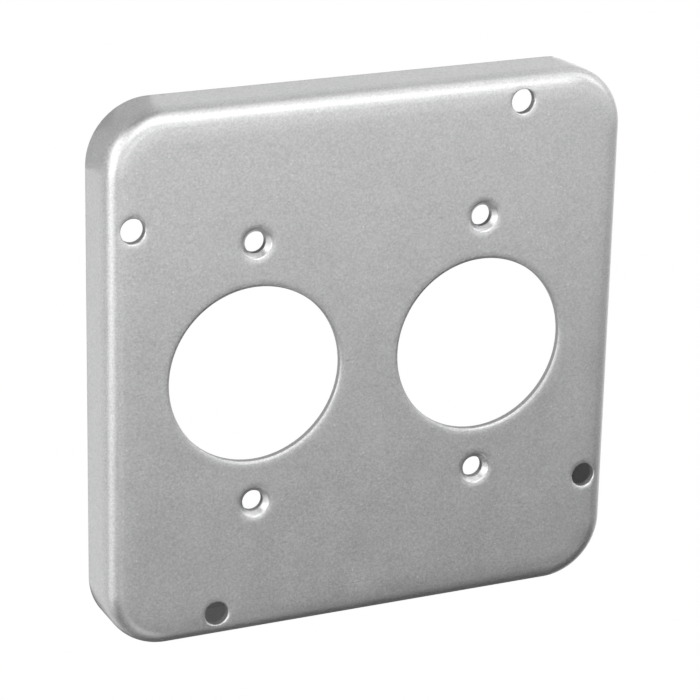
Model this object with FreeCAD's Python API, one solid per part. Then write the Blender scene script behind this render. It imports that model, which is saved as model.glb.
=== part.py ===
import FreeCAD
import Part
import math
import os
from FreeCAD import Vector

# A raised square cover for a surface electrical box, pressed from one steel sheet.
# It lies face up on its rim. The origin is the middle of the rim's plane, +Z points out of
# the face and +X runs from one round opening to the other. All sizes are in millimetres.

# Driving sizes of the drawn shell
side = 123.8
depth = 12.7
sheet = 1.6
inner_bend = 2.4
inner_corner = 12.7

# Driving sizes of the two round openings for the receptacles
opening_radius = 20.25
opening_pitch = 54.6
opening_roll_radius = 1.0
opening_roll_drop = 0.35

# Driving sizes of the dimpled holes above and below each opening
screw_spacing = 60.3
screw_hole_radius = 2.45
seat_radius = 3.5
seat_half_angle = 41.0
seat_roll = 0.6
collar_drop = 0.9
collar_wall = 1.0

# Driving sizes of the four holes that hold the cover on its box
cover_hole_radius = 2.75
cover_hole_margin = 3.35
cover_hole_offset = 36.1
cover_hole_roll_reach = 0.3
cover_hole_roll_drop = 0.2

# Values that follow from those above
half = side / 2
outer_bend = inner_bend + sheet
outer_corner = inner_corner + sheet
underside = depth - sheet
cover_hole_reach = half - cover_hole_margin - cover_hole_radius


def rounded_square(width, corner):
    """The wire of a square with rounded corners, centred on the origin."""
    reach = width / 2
    flat = reach - corner
    edges = []
    for quarter in range(4):
        turn = FreeCAD.Rotation(Vector(0, 0, 1), 90 * quarter)
        straight_start = turn.multVec(Vector(reach, -flat, 0))
        straight_end = turn.multVec(Vector(reach, flat, 0))
        slant = corner * math.sqrt(0.5)
        arc_middle = turn.multVec(Vector(flat + slant, flat + slant, 0))
        arc_end = turn.multVec(Vector(flat, reach, 0))
        edges.append(Part.LineSegment(straight_start, straight_end).toShape())
        edges.append(Part.Arc(straight_end, arc_middle, arc_end).toShape())
    return Part.Wire(edges)


def drawn_block(width, corner, height, bend):
    """A rounded square block from the rim up, with its top edge bent over all round."""
    block = Part.Face(rounded_square(width, corner)).extrude(Vector(0, 0, height))
    top_edges = []
    for edge in block.Edges:
        if edge.BoundBox.ZMin > height / 2:
            top_edges.append(edge)
    return block.makeFillet(bend, top_edges)


def drawn_shell():
    """The sheet after drawing: the same thickness in the face, the bends and the walls."""
    outside = drawn_block(side, outer_corner, depth, outer_bend)
    inside = drawn_block(side - 2 * sheet, inner_corner, underside, inner_bend)
    return outside.cut(inside)


def turned(points, arcs, place):
    """Turn a closed half-section about the Z axis. An arc replaces a side where one is given."""
    edges = []
    for index, start in enumerate(points):
        end = points[(index + 1) % len(points)]
        first = Vector(start[0], 0, start[1])
        last = Vector(end[0], 0, end[1])
        if index in arcs:
            middle = Vector(arcs[index][0], 0, arcs[index][1])
            edges.append(Part.Arc(first, middle, last).toShape())
        else:
            edges.append(Part.LineSegment(first, last).toShape())
    solid = Part.Face(Part.Wire(edges)).revolve(Vector(0, 0, 0), Vector(0, 0, 1), 360)
    solid.translate(place)
    return solid


def opening_waste(x):
    """The waste of an opening punched from the front, where the punch rolls the edge over."""
    turn = math.acos(1 - opening_roll_drop / opening_roll_radius)
    roll_reach = opening_roll_radius * math.sin(turn)
    roll_middle = (
        opening_radius + roll_reach - opening_roll_radius * math.sin(turn / 2),
        depth - opening_roll_radius * (1 - math.cos(turn / 2)),
    )
    points = [
        (0, underside - sheet),
        (opening_radius, underside - sheet),
        (opening_radius, depth - opening_roll_drop),
        (opening_radius + roll_reach, depth),
        (opening_radius + roll_reach, depth + sheet),
        (0, depth + sheet),
    ]
    return turned(points, {2: roll_middle}, Vector(x, 0, 0))


def cover_hole_waste(x, y):
    """The waste of a cover-screw hole, small enough for its front edge to be a plain taper."""
    points = [
        (0, underside - sheet),
        (cover_hole_radius, underside - sheet),
        (cover_hole_radius, depth - cover_hole_roll_drop),
        (cover_hole_radius + cover_hole_roll_reach, depth),
        (cover_hole_radius + cover_hole_roll_reach, depth + sheet),
        (0, depth + sheet),
    ]
    return turned(points, {}, Vector(x, y, 0))


def screw_collar(x, y):
    """The ring of sheet that a dimple pushes out behind the face."""
    tip = underside - collar_drop
    tip_radius = screw_hole_radius + collar_wall
    foot_radius = tip_radius + collar_drop
    points = [
        (0, tip),
        (tip_radius, tip),
        (foot_radius, underside),
        (foot_radius, depth - sheet / 2),
        (0, depth - sheet / 2),
    ]
    return turned(points, {}, Vector(x, y, 0))


def screw_seat(x, y):
    """The waste of a dimple: a rolled edge, a tapered seat for the head and a round hole."""
    angle = math.radians(seat_half_angle)
    tip = underside - collar_drop
    seat_drop = (seat_radius - screw_hole_radius) / math.tan(angle)
    roll_reach = seat_roll * math.tan((math.pi / 2 - angle) / 2)
    roll_start = (seat_radius - roll_reach * math.sin(angle), depth - roll_reach * math.cos(angle))
    roll_end = (seat_radius + roll_reach, depth)
    roll_middle_angle = (math.pi / 2 - angle) / 2
    roll_middle = (
        roll_end[0] - seat_roll * math.sin(roll_middle_angle),
        depth - seat_roll * (1 - math.cos(roll_middle_angle)),
    )
    points = [
        (0, tip - sheet),
        (screw_hole_radius, tip - sheet),
        (screw_hole_radius, depth - seat_drop),
        roll_start,
        roll_end,
        (roll_end[0], depth + sheet),
        (0, depth + sheet),
    ]
    return turned(points, {3: roll_middle}, Vector(x, y, 0))


def opening_centres():
    return [-opening_pitch / 2, opening_pitch / 2]


def screw_places():
    places = []
    for x in opening_centres():
        for y in (-screw_spacing / 2, screw_spacing / 2):
            places.append((x, y))
    return places


def cover_hole_places():
    """Four places a quarter turn apart, each where the bend of its own wall begins."""
    places = []
    for quarter in range(4):
        turn = FreeCAD.Rotation(Vector(0, 0, 1), 90 * quarter)
        place = turn.multVec(Vector(-cover_hole_reach, cover_hole_offset, 0))
        places.append((place.x, place.y))
    return places


def cover_plate():
    plate = drawn_shell()
    for x, y in screw_places():
        plate = plate.fuse(screw_collar(x, y))
    for x, y in screw_places():
        plate = plate.cut(screw_seat(x, y))
    for x in opening_centres():
        plate = plate.cut(opening_waste(x))
    for x, y in cover_hole_places():
        plate = plate.cut(cover_hole_waste(x, y))
    return plate.removeSplitter()


os.makedirs("parts", exist_ok=True)
plate = cover_plate()
solids = plate.Solids
assert len(solids) == 1 and solids[0].isValid()
solids[0].exportStep("parts/cover_plate.step")
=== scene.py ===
import bpy
import math
from mathutils import Matrix, Vector


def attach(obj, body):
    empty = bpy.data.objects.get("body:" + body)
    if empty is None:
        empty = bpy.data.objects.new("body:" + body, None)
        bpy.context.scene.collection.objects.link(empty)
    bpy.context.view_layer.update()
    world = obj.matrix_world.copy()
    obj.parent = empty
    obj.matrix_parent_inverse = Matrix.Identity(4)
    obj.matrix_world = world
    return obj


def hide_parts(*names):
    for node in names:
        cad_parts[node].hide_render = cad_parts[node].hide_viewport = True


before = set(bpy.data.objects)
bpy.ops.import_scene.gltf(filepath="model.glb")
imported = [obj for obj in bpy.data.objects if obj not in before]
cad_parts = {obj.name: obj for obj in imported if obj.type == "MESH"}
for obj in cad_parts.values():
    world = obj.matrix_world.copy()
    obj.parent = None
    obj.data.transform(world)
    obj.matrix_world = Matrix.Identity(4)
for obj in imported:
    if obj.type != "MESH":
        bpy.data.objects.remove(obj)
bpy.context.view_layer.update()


# The camera stands to the upper left of the cover and looks down on it through a long lens,
# as in the photograph. The rows are its right, up and backward directions.
camera_turn = Matrix((
    (0.910337, 0.020689, 0.413351),
    (0.123777, 0.939427, -0.319620),
    (-0.394926, 0.342125, 0.852634),
))
camera_place = (-0.274428, 0.236460, 0.594860)
sensor_width = 36
focal_pixels = 3088.03
picture_pixels = 700
view_camera = bpy.data.objects.new("photo_camera", bpy.data.cameras.new("photo_camera"))
bpy.context.scene.collection.objects.link(view_camera)
view_camera.matrix_world = Matrix.Translation(camera_place) @ camera_turn.transposed().to_4x4()
view_camera.data.sensor_width = sensor_width
view_camera.data.lens = sensor_width * focal_pixels / picture_pixels
view_camera.data.clip_start = 0.05
view_camera.data.clip_end = 20
bpy.context.scene.camera = view_camera
bpy.context.scene.view_settings.view_transform = "Standard"


# The cover is one square of galvanised sheet steel, drawn over a rounded punch so that its four
# walls fold back with the sheet's own thickness all round. Two round openings, four dimpled
# screw seats and four plain holes are punched through it from the front.
class Wire:
    """An output in a node tree. Sums written with it add the Math nodes that work them out."""

    def __init__(self, tree, socket=None):
        self.tree = tree
        self.socket = socket

    def put(self, kind, settings=None, inputs=None, output=0):
        """Add a node: its settings first, then the values or wires of its sockets."""
        node = self.tree.nodes.new(kind)
        for name, value in (settings or {}).items():
            if name == "stops":
                while len(node.color_ramp.elements) < len(value):
                    node.color_ramp.elements.new(1.0)
                for element, (position, shade) in zip(node.color_ramp.elements, value):
                    element.position = position
                    element.color = (shade, shade, shade, 1)
            else:
                setattr(node, name, value)
        for name, value in (inputs or {}).items():
            for item in value if isinstance(value, list) else [value]:
                if isinstance(item, Wire):
                    self.tree.links.new(item.socket, node.inputs[name])
                else:
                    node.inputs[name].default_value = item
        return Wire(self.tree, node.outputs[output])

    def math(self, operation, *values):
        return self.put("ShaderNodeMath", {"operation": operation}, dict(enumerate(values)))

    def __add__(self, other):
        return self.math("ADD", self, other)

    def __radd__(self, other):
        return self.math("ADD", other, self)

    def __sub__(self, other):
        return self.math("SUBTRACT", self, other)

    def __rsub__(self, other):
        return self.math("SUBTRACT", other, self)

    def __mul__(self, other):
        return self.math("MULTIPLY", self, other)

    def __rmul__(self, other):
        return self.math("MULTIPLY", other, self)

    def __truediv__(self, other):
        return self.math("DIVIDE", self, other)

    def __rtruediv__(self, other):
        return self.math("DIVIDE", other, self)


opening_roll_drop = 0.35
cover_hole_place = (-55.8, 36.1)
cover_sizes = {
    "Side": 123.8,
    "Depth": 12.7,
    "Sheet": 1.6,
    "Bend radius": 4.0,
    "Corner radius": 14.3,
    "Rim round": 0.2,
    "Opening radius": 20.25,
    "Opening pitch": 54.6,
    "Opening roll radius": 1.0,
    "Opening roll turn": math.acos(1 - opening_roll_drop),
    "Screw spacing": 60.3,
    "Screw hole radius": 2.45,
    "Seat radius": 3.5,
    "Seat half angle": math.radians(41),
    "Seat roll radius": 0.6,
    "Seat lip radius": 0.15,
    "Collar drop": 0.9,
    "Collar wall": 1.0,
    "Collar foot radius": 0.4,
    "Cover hole radius": 2.75,
    "Cover hole circle": 66.459,
    "Cover hole turn": math.atan2(cover_hole_place[1], cover_hole_place[0]),
    "Cover hole roll radius": 0.45,
    "Cover hole roll end": math.radians(8),
    "Back edge round": 0.08,
}
press = bpy.data.node_groups.new("drawn_cover", "GeometryNodeTree")
press.interface.new_socket("Blank", in_out="INPUT", socket_type="NodeSocketGeometry")
for name in cover_sizes:
    press.interface.new_socket(name, in_out="INPUT", socket_type="NodeSocketFloat")
press.interface.new_socket("Cover", in_out="OUTPUT", socket_type="NodeSocketGeometry")
tool = Wire(press)
size_node = press.nodes.new("NodeGroupInput")
size = {name: Wire(press, size_node.outputs[name]) for name in cover_sizes}


def section_point(out, height):
    """A point of a section, by how far it is outside the rail and how high above the rim."""
    return tool.put("ShaderNodeCombineXYZ", {}, {"X": out, "Y": 0.0 - height})


def run(start, end):
    """A straight part of a section."""
    ends = {"Start": section_point(*start), "End": section_point(*end)}
    return tool.put("GeometryNodeCurvePrimitiveLine", {"mode": "POINTS"}, ends)


def trig(operation, angle):
    if isinstance(angle, Wire):
        return tool.math(operation, angle)
    return {"SINE": math.sin, "COSINE": math.cos, "TANGENT": math.tan}[operation](angle)


def sweep(centre, radius, first, last, steps):
    """A round part of a section. Its angles run anticlockwise from straight up."""
    inputs = {"Resolution": steps + 1}
    for name, share in (("Start", 0.0), ("Middle", 0.5), ("End", 1.0)):
        angle = first + (last - first) * share
        out = centre[0] - radius * trig("SINE", angle)
        inputs[name] = section_point(out, centre[1] + radius * trig("COSINE", angle))
    return tool.put("GeometryNodeCurveArc", {"mode": "POINTS"}, inputs)


def drawn(rail, parts):
    """The sheet that a section leaves as it goes round a rail."""
    section = tool.put("GeometryNodeJoinGeometry", {}, {"Geometry": parts})
    upright = tool.put("GeometryNodeSetCurveNormal", {"mode": "Z_UP"}, {"Curve": rail})
    sheet_round = {"Curve": upright, "Profile Curve": section}
    return tool.put("GeometryNodeCurveToMesh", {}, sheet_round)


def ring(radius, steps):
    circle = {"Resolution": steps, "Radius": radius}
    return tool.put("GeometryNodeCurvePrimitiveCircle", {}, circle)


def punched(places, edge):
    on_places = {"Points": places, "Instance": edge}
    return tool.put("GeometryNodeInstanceOnPoints", {}, on_places)


quarter = math.pi / 2
depth = size["Depth"]
sheet = size["Sheet"]
underside = depth - sheet

# The folded walls: over the bend, down the outside, round the rim and up the inside
bend = size["Bend radius"]
rim_round = size["Rim round"]
blank = {"Width": size["Side"], "Height": size["Side"]}
outline = tool.put("GeometryNodeCurvePrimitiveQuadrilateral", {}, blank)
corners = {"Curve": outline, "Count": 32, "Radius": size["Corner radius"]}
outline = tool.put("GeometryNodeFilletCurve", {"mode": "POLY"}, corners)
bend_centre = (0.0 - bend, depth - bend)
walls = drawn(outline, [
    sweep(bend_centre, bend, 0.0, -quarter, steps=16),
    run((0.0, depth - bend), (0.0, rim_round)),
    sweep((0.0 - rim_round, rim_round), rim_round, -quarter, -2 * quarter, steps=4),
    run((0.0 - rim_round, 0.0), (rim_round - sheet, 0.0)),
    sweep((rim_round - sheet, rim_round), rim_round, -2 * quarter, -3 * quarter, steps=4),
    run((0.0 - sheet, rim_round), (0.0 - sheet, depth - bend)),
    sweep(bend_centre, bend - sheet, -quarter, 0.0, steps=10),
])

# The two round openings: up the bore and over the edge that the punch rolled
back_round = size["Back edge round"]
opening_roll = size["Opening roll radius"]
opening_turn = size["Opening roll turn"]
opening_reach = opening_roll * trig("SINE", opening_turn)
opening_shoulder = depth - opening_roll * (1.0 - trig("COSINE", opening_turn))
opening_edge = drawn(ring(size["Opening radius"], steps=144), [
    sweep((back_round, underside + back_round), back_round, 2 * quarter, quarter, steps=4),
    run((0.0, underside + back_round), (0.0, opening_shoulder)),
    sweep((opening_reach, depth - opening_roll), opening_roll, opening_turn, 0.0, steps=10),
])
opening_pair = tool.put("GeometryNodeMeshLine", {}, {
    "Count": 2,
    "Start Location": tool.put("ShaderNodeCombineXYZ", {}, {"X": size["Opening pitch"] * -0.5}),
    "Offset": tool.put("ShaderNodeCombineXYZ", {}, {"X": size["Opening pitch"]}),
})
openings = punched(opening_pair, opening_edge)

# The four dimples: round the collar that they push out behind, up the hole and over the seat
slope = quarter - size["Seat half angle"]
seat_roll = size["Seat roll radius"]
seat_lip = size["Seat lip radius"]
foot_round = size["Collar foot radius"]
hole = size["Screw hole radius"]
seat_out = size["Seat radius"] - hole
seat_drop = seat_out / trig("TANGENT", size["Seat half angle"])
roll_out = seat_out + seat_roll * trig("TANGENT", slope * 0.5)
lip_height = depth - seat_drop - seat_lip * trig("TANGENT", size["Seat half angle"] * 0.5)
tip = underside - size["Collar drop"]
collar = size["Collar wall"]
foot = collar + size["Collar drop"]
foot_reach = foot_round * math.tan(quarter / 4)
foot_end = foot_round * (1 - math.cos(quarter / 2))
roll_end = (
    roll_out - seat_roll * trig("SINE", slope),
    depth - seat_roll * (1.0 - trig("COSINE", slope)),
)
lip_end = (
    seat_lip - seat_lip * trig("SINE", slope),
    lip_height + seat_lip * trig("COSINE", slope),
)
seat_edge = drawn(ring(hole, steps=72), [
    sweep((foot + foot_reach, underside - foot_round), foot_round, 0.0, quarter / 2, steps=6),
    run((foot - foot_end, underside - foot_end), (collar, tip)),
    run((collar, tip), (back_round, tip)),
    sweep((back_round, tip + back_round), back_round, 2 * quarter, quarter, steps=4),
    run((0.0, tip + back_round), (0.0, lip_height)),
    sweep((seat_lip, lip_height), seat_lip, quarter, slope, steps=5),
    run(lip_end, roll_end),
    sweep((roll_out, depth - seat_roll), seat_roll, slope, 0.0, steps=10),
])
seat_places = tool.put("GeometryNodeMeshGrid", {}, {
    "Size X": size["Opening pitch"],
    "Size Y": size["Screw spacing"],
    "Vertices X": 2,
    "Vertices Y": 2,
})
seats = punched(seat_places, seat_edge)


closest_points = 0.002


def joined(parts):
    """The parts as one mesh, with points that lie closer than this made one."""
    together = tool.put("GeometryNodeJoinGeometry", {}, {"Geometry": parts})
    together = tool.put("GeometryNodeRealizeInstances", {}, {"Geometry": together})
    close = {"Geometry": together, "Distance": closest_points}
    return tool.put("GeometryNodeMergeByDistance", {}, close)


def flat_between(edges, upper):
    """The flat sheet inside the open edges that lie above or below the middle of the sheet."""
    open_edge = tool.math("LESS_THAN", tool.put("GeometryNodeInputMeshEdgeNeighbors"), 1.5)
    place = tool.put("GeometryNodeInputPosition")
    height = tool.put("ShaderNodeSeparateXYZ", {}, {"Vector": place}, "Z")
    compare = "GREATER_THAN" if upper else "LESS_THAN"
    side = tool.math(compare, height, depth - sheet * 0.5)
    wanted = {"Mesh": edges, "Selection": open_edge * side}
    loops = tool.put("GeometryNodeMeshToCurve", {}, wanted)
    return tool.put("GeometryNodeFillCurve", {"mode": "TRIANGLES"}, {"Curve": loops})


def lifted(mesh, height):
    up = tool.put("ShaderNodeCombineXYZ", {}, {"Z": height})
    return tool.put("GeometryNodeTransform", {}, {"Geometry": mesh, "Translation": up})


# The flat of the face and of its back close what the bends and edges leave open
edges = joined([walls, openings, seats])
face = lifted(flat_between(edges, True), depth)
back = lifted(flat_between(edges, False), underside)
back = tool.put("GeometryNodeFlipFaces", {}, {"Mesh": back})
pressed = joined([edges, face, back])

# The four plain holes, a quarter turn apart. They are punched last, because they cut into the
# start of the bends. The punch rolls their front edge over and flares out above it.
hole_radius = size["Cover hole radius"]
hole_roll = size["Cover hole roll radius"]
roll_stop = size["Cover hole roll end"]
shoulder = depth - hole_roll
flare = 1.0
flare_start = (
    hole_roll - hole_roll * trig("SINE", roll_stop),
    shoulder + hole_roll * trig("COSINE", roll_stop),
)
flare_end = (hole_roll + flare, depth + trig("TANGENT", roll_stop) * flare)
punch = joined([drawn(ring(hole_radius, steps=64), [
    run((0.0 - hole_radius, underside - sheet), (0.0, underside - sheet)),
    run((0.0, underside - sheet), (0.0, shoulder)),
    sweep((hole_roll, shoulder), hole_roll, quarter, roll_stop, steps=8),
    run(flare_start, flare_end),
    run(flare_end, (hole_roll + flare, depth + sheet)),
    run((hole_roll + flare, depth + sheet), (0.0 - hole_radius, depth + sheet)),
])])
cover_circle = {"Vertices": 4, "Radius": size["Cover hole circle"]}
cover_places = tool.put("GeometryNodeTransform", {}, {
    "Geometry": tool.put("GeometryNodeMeshCircle", {}, cover_circle),
    "Rotation": tool.put("ShaderNodeCombineXYZ", {}, {"Z": size["Cover hole turn"]}),
})
punch = tool.put("GeometryNodeFlipFaces", {}, {"Mesh": punch})
punches = tool.put("GeometryNodeRealizeInstances", {}, {"Geometry": punched(cover_places, punch)})
cut = {"operation": "DIFFERENCE", "solver": "EXACT"}
cover = tool.put("GeometryNodeMeshBoolean", cut, {"Mesh 1": pressed, "Mesh 2": punches})
millimetre = 0.001
cover = tool.put("GeometryNodeTransform", {}, {"Geometry": cover, "Scale": (millimetre,) * 3})
cover = tool.put("GeometryNodeSetShadeSmooth", {}, {"Geometry": cover})
cover = tool.put("GeometryNodeRealizeInstances", {}, {"Geometry": cover})
galvanised = bpy.data.materials.new("galvanised_sheet")
cover = tool.put("GeometryNodeSetMaterial", {}, {"Geometry": cover, "Material": galvanised})
press_end = press.nodes.new("NodeGroupOutput")
press.links.new(cover.socket, press_end.inputs["Cover"])

cover_plate = bpy.data.objects.new("pressed_cover", bpy.data.meshes.new("pressed_cover_blank"))
bpy.context.scene.collection.objects.link(cover_plate)
pressing = cover_plate.modifiers.new("drawn_cover", "NODES")
pressing.node_group = press
for item in press.interface.items_tree:
    if item.in_out == "INPUT" and item.name in cover_sizes:
        pressing[item.identifier] = float(cover_sizes[item.name])
evaluated = cover_plate.evaluated_get(bpy.context.evaluated_depsgraph_get())
cover_plate.data = bpy.data.meshes.new_from_object(evaluated)
cover_plate.data.name = "pressed_cover"
cover_plate.data.materials.clear()
cover_plate.data.materials.append(galvanised)
cover_plate.modifiers.clear()
sharp_from = math.radians(35)
cover_plate.data.set_sharp_from_angle(angle=sharp_from)


def drawn_direction(point):
    """Which way the drawn sheet faces at a point: up on the face, outward on the walls."""
    flat = (cover_sizes["Side"] / 2 - cover_sizes["Corner radius"]) * millimetre
    start = (cover_sizes["Corner radius"] - cover_sizes["Bend radius"]) * millimetre
    middle = (cover_sizes["Depth"] - cover_sizes["Bend radius"]) * millimetre
    aside = Vector([math.copysign(max(abs(v) - flat, 0), v) for v in point[:2]] + [0])
    out = aside.normalized() * max(aside.length - start, 0)
    return (out + Vector((0, 0, max(point[2] - middle, 0)))).normalized()


# The bends are true rounds, so the shading follows their form and not the long faces on them.
# The walls of the holes keep their own: there the faces look another way than the sheet does.
nearly_same_way = 0.995
shading = []
for face in cover_plate.data.polygons:
    likeness = face.normal.dot(drawn_direction(face.center))
    for corner in face.vertices:
        direction = drawn_direction(cover_plate.data.vertices[corner].co)
        follows = abs(likeness) > nearly_same_way
        shading.append(direction * round(likeness) if follows else Vector())
cover_plate.data.normals_split_custom_set(shading)
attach(cover_plate, "root")
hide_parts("cover_plate")


# Galvanised steel, as rolled and then pressed: satin zinc with a fine mottle, small bright
# specks and a few faint scratches. The punch has left the walls of the holes rough and has
# polished the dimples, and the sheet eases into its bends instead of turning at once.
galvanised.use_nodes = True
galvanised.node_tree.nodes.clear()
zinc = Wire(galvanised.node_tree)


def vector(operation, *values, output=0):
    inputs = dict(enumerate(values))
    return zinc.put("ShaderNodeVectorMath", {"operation": operation}, inputs, output)


def mottle(scale, detail, roughness=0.55):
    """Cloudy variation whose features are about one over the scale in millimetres."""
    cloud = {"Vector": place, "Scale": scale, "Detail": detail, "Roughness": roughness}
    return zinc.put("ShaderNodeTexNoise", {}, cloud)


def ramp(value, stops):
    return zinc.put("ShaderNodeValToRGB", {"stops": stops}, {"Fac": value})


def nearest(centres):
    """How far a point is in plan from the nearest of these centres."""
    nearest_yet = 1000.0
    for x, y in centres:
        away = vector("DISTANCE", plan, (x, y, 0), output="Value")
        nearest_yet = zinc.math("MINIMUM", away, nearest_yet)
    return nearest_yet


def scratches(turn, seed):
    """Thin lines along one direction, broken into short lengths."""
    lines = zinc.put("ShaderNodeMapping", {}, {
        "Vector": place,
        "Location": (seed, 0, 0),
        "Rotation": (0, 0, turn),
        "Scale": (0.07, 1.1, 1.1),
    })
    lines = zinc.put("ShaderNodeTexNoise", {}, {"Vector": lines, "Scale": 1.0, "Detail": 0.0})
    lines = ramp(zinc.math("ABSOLUTE", lines - 0.5), [(0.0, 1.0), (0.012, 0.4), (0.02, 0.0)])
    short = zinc.put("ShaderNodeMapping", {}, {
        "Vector": place,
        "Location": (0, seed, seed),
        "Rotation": (0, 0, turn),
    })
    short = zinc.put("ShaderNodeTexNoise", {}, {"Vector": short, "Scale": 0.16, "Detail": 1.0})
    return lines * ramp(short, [(0.0, 0.0), (0.60, 0.0), (0.66, 1.0)])


# Where a point of the sheet is, in millimetres, and how far it is from each kind of hole
place = zinc.put("ShaderNodeTexCoord", {}, {}, "Object")
in_millimetres = {"Vector": place, "Scale": 1 / millimetre}
place = zinc.put("ShaderNodeVectorMath", {"operation": "SCALE"}, in_millimetres)
plan = vector("MULTIPLY", place, (1, 1, 0))
opening_x = cover_sizes["Opening pitch"] / 2
seat_y = cover_sizes["Screw spacing"] / 2
hole_circle = cover_sizes["Cover hole circle"]
hole_turns = [cover_sizes["Cover hole turn"] + quarter * turn for turn in range(4)]
opening_centres = [(x, 0) for x in (-opening_x, opening_x)]
seat_centres = [(x, y) for x in (-opening_x, opening_x) for y in (-seat_y, seat_y)]
hole_centres = [(hole_circle * math.cos(turn), hole_circle * math.sin(turn)) for turn in hole_turns]
from_opening = nearest(opening_centres) - cover_sizes["Opening radius"]
from_seat = nearest(seat_centres) - cover_sizes["Screw hole radius"]
from_hole = nearest(hole_centres) - cover_sizes["Cover hole radius"]
from_wall = zinc.math("MINIMUM", from_opening, zinc.math("MINIMUM", from_seat, from_hole))
punched_wall = ramp(from_wall, [(0.0, 1.0), (0.06, 1.0), (0.10, 0.0)])
rolled = ramp(from_opening, [(0.0, 1.0), (0.6, 1.0), (1.0, 0.0)])
dimple = ramp(from_seat * 0.5, [(0.0, 1.0), (0.55, 1.0), (0.8, 0.0)]) * (1.0 - punched_wall)

# How far inside the start of the bends a point is, and how the sheet eases into them there
straight = cover_sizes["Side"] / 2 - cover_sizes["Corner radius"]
beyond = vector("SUBTRACT", vector("ABSOLUTE", plan), (straight, straight, 0))
outside = vector("LENGTH", vector("MAXIMUM", beyond, (0, 0, 0)), output="Value")
beyond_x = zinc.put("ShaderNodeSeparateXYZ", {}, {"Vector": beyond}, "X")
beyond_y = zinc.put("ShaderNodeSeparateXYZ", {}, {"Vector": beyond}, "Y")
outside = outside + zinc.math("MINIMUM", zinc.math("MAXIMUM", beyond_x, beyond_y), 0.0)
inward = (cover_sizes["Corner radius"] - cover_sizes["Bend radius"]) - outside
true_normal = zinc.put("ShaderNodeNewGeometry", {}, {}, "True Normal")
facing_up = zinc.put("ShaderNodeSeparateXYZ", {}, {"Vector": true_normal}, "Z")


def eased(distance, reach, drop):
    """How much lower the sheet lies near an edge, falling off over this reach. In millimetres."""
    return (zinc.math("TANH", distance / reach) - 1.0) * facing_up * drop


opening_roll_width = 0.7
seat_width = 1.4
hole_roll_width = 0.4
easing = eased(inward, reach=2.0, drop=0.14)
easing = easing + eased(from_opening - opening_roll_width, reach=0.6, drop=0.05)
easing = easing + eased(from_seat - seat_width, reach=0.6, drop=0.09)
easing = easing + eased(from_hole - hole_roll_width, reach=0.5, drop=0.08)

# The marks in the zinc. A dimple is polished, so little of the grain and the specks is left there.
grain = mottle(2.4, 2.0, 0.6)
cloud = mottle(0.12, 3.0)
cells = {"Vector": place, "Scale": 0.4}
speck = zinc.put("ShaderNodeTexVoronoi", {"feature": "F1"}, cells, "Distance")
speck = ramp(speck, [(0.0, 1.0), (0.05, 0.7), (0.08, 0.0)])
scratch = zinc.math("MAXIMUM", scratches(0.15, 0.0), scratches(2.0, 40.0))
polished_away = 0.7
plain = 1.0 - dimple * polished_away

# The colour: a mid grey, darker on the punched walls and a little duller on the rolled edges
grey = 0.5
greener = 1.003
bluer = 1.008
shade = grey + (grain - 0.5) * 0.36 * plain + (cloud - 0.5) * 0.05 + speck * 0.2 * plain
shade = (shade - scratch * 0.06) * (1.0 - punched_wall * 0.15) * (1.0 - rolled * 0.08)
channels = {"Red": shade, "Green": shade * greener, "Blue": shade * bluer}
tint = zinc.put("ShaderNodeCombineColor", {}, channels)

# The roughness: satin, smoother in the dimples and rougher on the punched walls
satin = 0.45
polish = satin + (grain - 0.5) * 0.15 * plain + (cloud - 0.5) * 0.06 + scratch * 0.08
polish = polish - dimple * 0.05 + punched_wall * 0.12 + rolled * 0.05

# The relief, in millimetres, and how the sheet eases into its bends and edges
grain_height = 0.0075
relief = (grain + speck * 0.3 - scratch * 0.4) * plain * grain_height + easing
depths = {"Strength": 1.0, "Distance": millimetre, "Height": relief}
bumps = zinc.put("ShaderNodeBump", {}, depths)
steel = zinc.put("ShaderNodeBsdfPrincipled", {}, {
    "Base Color": tint,
    "Metallic": 1.0,
    "Roughness": polish,
    "Normal": bumps,
})
zinc_end = galvanised.node_tree.nodes.new("ShaderNodeOutputMaterial")
galvanised.node_tree.links.new(steel.socket, zinc_end.inputs["Surface"])


# The floor is a white sheet that fills the picture and stays even, and only the camera sees it.
# On it lie glowing cards that only the steel mirrors, painted light and shade of the ground: pale
# ones round the cover stand for lit ground, dim ones along its near side, where the steel has a
# dark edge, stand for ground in its shade, and ones under it, bright beneath the openings and dim
# elsewhere, are painted light and shade that light the walls of its holes.
floor_height = -0.0002
corner_card_height = -0.00015
card_height = -0.0001
shade_height = -0.00005


def laid(name, corners, height, glow):
    """An evenly lit rectangle that lies flat and shows from above only."""
    left, near, right, far = corners
    card_mesh = bpy.data.meshes.new(name)
    outline = [(left, near, 0), (right, near, 0), (right, far, 0), (left, far, 0)]
    card_mesh.from_pydata(outline, [], [(0, 1, 2, 3)])
    card = bpy.data.objects.new(name, card_mesh)
    bpy.context.scene.collection.objects.link(card)
    card.location.z = height
    surface = bpy.data.materials.new(name)
    surface.use_nodes = True
    surface.node_tree.nodes.clear()
    light = Wire(surface.node_tree)
    lit = light.put("ShaderNodeEmission", {}, {"Strength": glow})
    below = light.put("ShaderNodeNewGeometry", {}, {}, "Backfacing")
    clear = light.put("ShaderNodeBsdfTransparent")
    one_sided = light.put("ShaderNodeMixShader", {}, {0: below, 1: lit, 2: clear})
    surface_end = surface.node_tree.nodes.new("ShaderNodeOutputMaterial")
    surface.node_tree.links.new(one_sided.socket, surface_end.inputs["Surface"])
    card_mesh.materials.append(surface)
    return card


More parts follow.
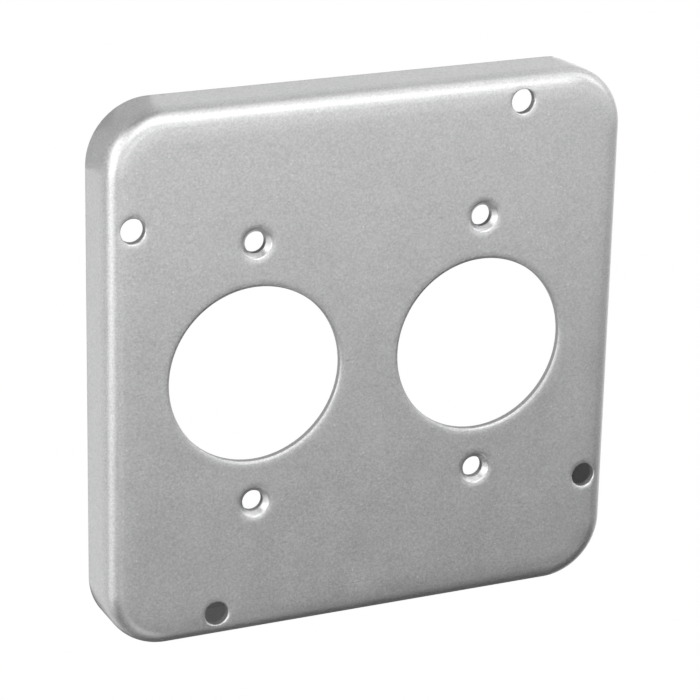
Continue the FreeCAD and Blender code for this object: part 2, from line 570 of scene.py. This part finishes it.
floor = laid("floor", (-4, -4, 4, 4), floor_height, 1.0)
floor.visible_diffuse = False
floor.visible_glossy = False
floor.visible_shadow = False
# Painted light and shade of the ground, seen only in the steel: each card's glow stands for how lit
# or shaded the ground is there
for name, corners, glow in (
    ("left_card", (-0.142, -0.142, -0.062, 0.047), 1.10),
    ("far_left_card", (-0.142, 0.047, -0.047, 0.142), 0.73),
    ("far_card", (-0.047, 0.062, 0.062, 0.142), 1.08),
    ("right_card", (0.062, -0.086, 0.142, 0.142), 1.24),
    ("near_card", (-0.062, -0.142, 0.142, -0.086), 0.17),
    ("near_foot_card", (-0.062, -0.086, 0.062, -0.062), 0.09),
    ("openings_card", (-0.0500, -0.0250, 0.0500, 0.0250), 0.80),
    ("middle_far_card", (-0.0500, 0.0250, 0.0500, 0.0500), 0.08),
    ("middle_near_card", (-0.0500, -0.0500, 0.0500, -0.0250), 0.08),
    ("left_hole_card", (-0.0602, -0.0500, -0.0500, 0.0602), 0.50),
    ("far_hole_card", (-0.0500, 0.0500, 0.0602, 0.0602), 0.50),
    ("right_hole_card", (0.0500, -0.0602, 0.0602, 0.0500), 0.10),
    ("near_hole_card", (-0.0602, -0.0602, 0.0500, -0.0500), 0.17),
):
    laid(name, corners, card_height, glow).visible_camera = False

# The far right corner has a bright glowing card of its own, a painted light that its wall mirrors
corner_card = laid("corner_card", (0.050, 0.050, 0.075, 0.075), corner_card_height, 2.6)
corner_card.visible_camera = False

# The photograph shows shaded ground through the plain holes beside the right and near walls, so
# a dark strip that only the camera sees runs along the foot of each of these two walls
for name, corners, glow in (
    ("right_hole_shade", (0.0580, -0.0476, 0.0612, 0.0476), 0.045),
    ("near_hole_shade", (-0.0476, -0.0612, 0.0476, -0.0575), 0.075),
):
    shade_card = laid(name, corners, shade_height, glow)
    shade_card.visible_diffuse = False
    shade_card.visible_glossy = False


# The studio: soft lamps all round in a dark room, brightest on the left and along the far side
# and weakest at the near right, so the face darkens that way.
lamp_distance = 1.2


def soft_light(name, bearing, rise, width, height, strength):
    """A lamp at a bearing from +X and a rise, both in degrees. Strength is its radiance."""
    lamp = bpy.data.lights.new(name, "AREA")
    lamp.shape = "RECTANGLE"
    lamp.size = width
    lamp.size_y = height
    lamp.energy = strength * math.pi * width * height
    light = bpy.data.objects.new(name, lamp)
    bpy.context.scene.collection.objects.link(light)
    level = Matrix.Rotation(math.radians(bearing), 3, "Z")
    raised = Matrix.Rotation(math.radians(-rise), 3, "Y")
    away = level @ raised @ Vector((1, 0, 0))
    light.location = away * lamp_distance
    light.rotation_mode = "QUATERNION"
    light.rotation_quaternion = away.to_track_quat("Z", "Y")


for name, bearing, rise, width, height, strength in (
    ("overhead_lamp", 0, 90, 0.60, 0.60, 2.56),
    ("high_right_lamp", 0, 62, 0.60, 0.60, 1.56),
    ("high_near_right_lamp", 315, 62, 0.60, 0.60, 0.12),
    ("high_far_lamp", 45, 62, 0.60, 0.60, 0.32),
    ("high_near_left_lamp", 225, 62, 0.60, 0.60, 0.66),
    ("high_left_lamp", 175, 60, 0.50, 0.50, 0.85),
    ("raised_far_lamp", 60, 48, 0.50, 0.50, 4.73),
    ("raised_far_left_lamp", 120, 48, 0.50, 0.50, 3.56),
    ("right_lamp", 0, 35, 0.55, 0.55, 1.29),
    ("far_lamp", 90, 35, 0.55, 0.55, 3.98),
    ("raised_left_lamp", 140, 33, 0.40, 0.40, 1.90),
    ("left_lamp", 180, 35, 0.55, 0.55, 6.14),
    ("near_lamp", 270, 35, 0.55, 0.55, 1.68),
    ("near_right_lamp", 300, 35, 0.55, 0.55, 0.16),
    ("low_right_lamp", 0, 12, 0.62, 0.42, 1.20),
    ("low_near_right_lamp", 335, 12, 0.50, 0.42, 0.38),
    ("low_far_right_lamp", 30, 12, 0.62, 0.42, 3.90),
    ("low_far_lamp", 60, 12, 0.62, 0.42, 2.25),
    ("low_far_left_lamp", 150, 12, 0.62, 0.42, 5.02),
    ("low_near_left_lamp", 210, 12, 0.62, 0.42, 2.19),
    ("low_near_lamp", 255, 10, 0.50, 0.40, 0.50),
):
    soft_light(name, bearing, rise, width, height, strength)
room = bpy.data.worlds.new("studio_room")
room.use_nodes = True
room.node_tree.nodes["Background"].inputs["Color"].default_value = (0, 0, 0, 1)
bpy.context.scene.world = room
